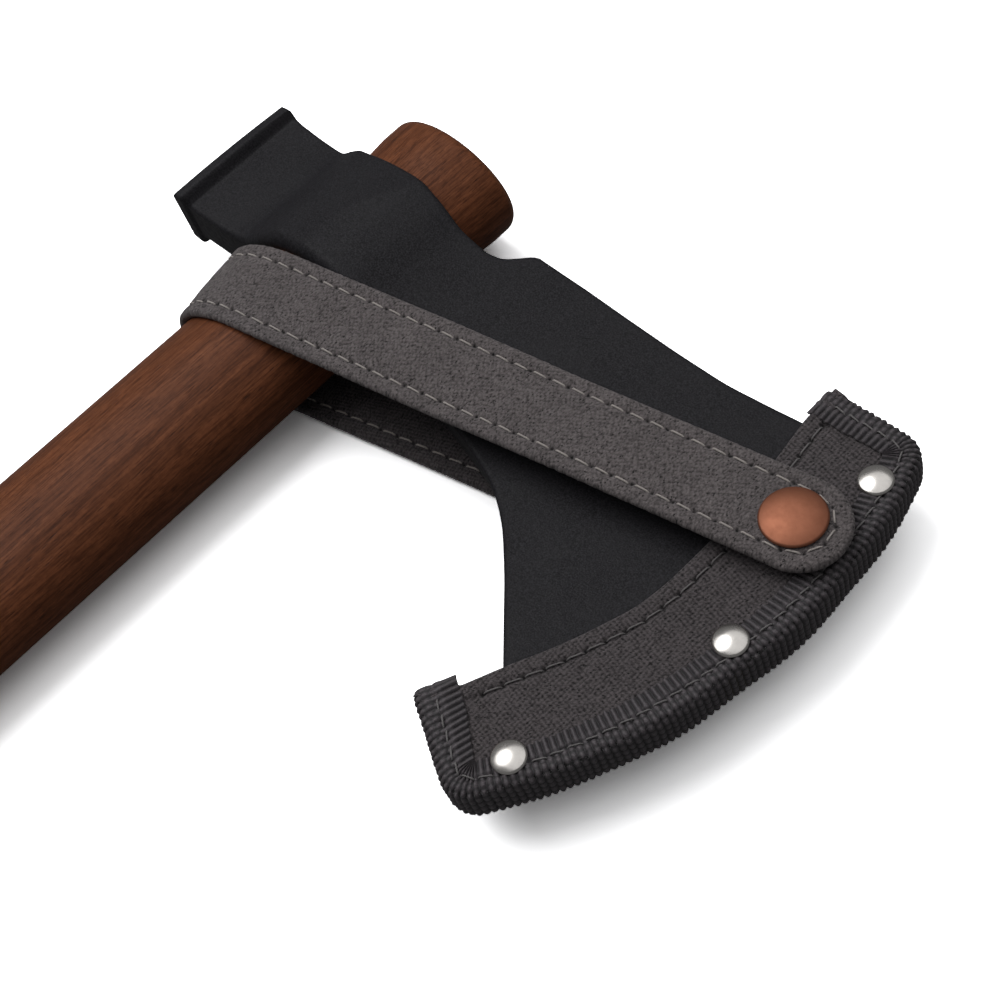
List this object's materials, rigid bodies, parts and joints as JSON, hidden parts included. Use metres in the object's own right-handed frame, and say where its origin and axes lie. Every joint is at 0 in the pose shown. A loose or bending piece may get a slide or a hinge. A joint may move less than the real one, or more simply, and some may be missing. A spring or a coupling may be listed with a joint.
{
  "type": "felling axe",
  "caption": "Bearded felling axe with a straight oval wooden handle, a hammer poll and a riveted canvas bit sheath closed by a strap with a snap.",
  "frame": {"origin": "centre of the hammer face of the poll, on the axe's middle plane", "axes": "+X towards the cutting edge, +Y along the handle towards its top, +Z square to the cheeks (up, with the axe lying on its side)"},
  "size_m": [0.2165, 0.6122, 0.0376],
  "materials": {
    "head_coat": "matte black powder coat, fine grain",
    "handle_wood": "brown-stained beech, satin oil",
    "canvas": "grey waxed canvas",
    "binding_tape": "ribbed dark grosgrain",
    "welt_board": "dense filler strip",
    "nickel": "polished nickel",
    "copper": "satin copper",
    "snap_steel": "plain plated steel"
  },
  "bodies": {
    "axe": {"axe_head": "head_coat", "handle": "handle_wood", "strap_wrap": "canvas", "strap_leg_inner": "canvas"},
    "sheath": {"front_panel": "canvas", "back_panel": "canvas", "front_hem": "canvas", "back_hem": "canvas", "edge_welt": "welt_board", "edge_binding": "binding_tape", "rivet_caps": "nickel", "rivet_bases": "nickel", "snap_stud": "snap_steel", "snap_stud_rivet": "snap_steel", "strap_leg_outer": "canvas"},
    "strap_fold": {"strap_bend": "canvas"},
    "strap_flap": {"flap_outer_ply": "canvas", "flap_inner_ply": "canvas", "snap_cap": "copper", "snap_socket": "snap_steel", "snap_spring_ring": "snap_steel"}
  },
  "joints": [
    {"name": "sheath_slide", "type": "slide", "parent": "axe", "child": "sheath", "axis": [1, 0, 0], "range_m": [0, 0.055]},
    {"name": "strap_lift", "type": "hinge", "parent": "axe", "child": "strap_fold", "pos_m": [0.03524, -0.03658, 0.0085], "axis": [0.2079, -0.9781, 0], "range_deg": [0, 40]},
    {"name": "strap_open", "type": "hinge", "parent": "strap_fold", "child": "strap_flap", "pos_m": [0.05459, -0.03247, 0.01699], "axis": [0.2079, -0.9781, 0], "range_deg": [0, 110]}
  ],
  "couplings": [
    {"joint": "strap_lift", "follows": "sheath_slide", "rad_per_m": 12.693}
  ]
}
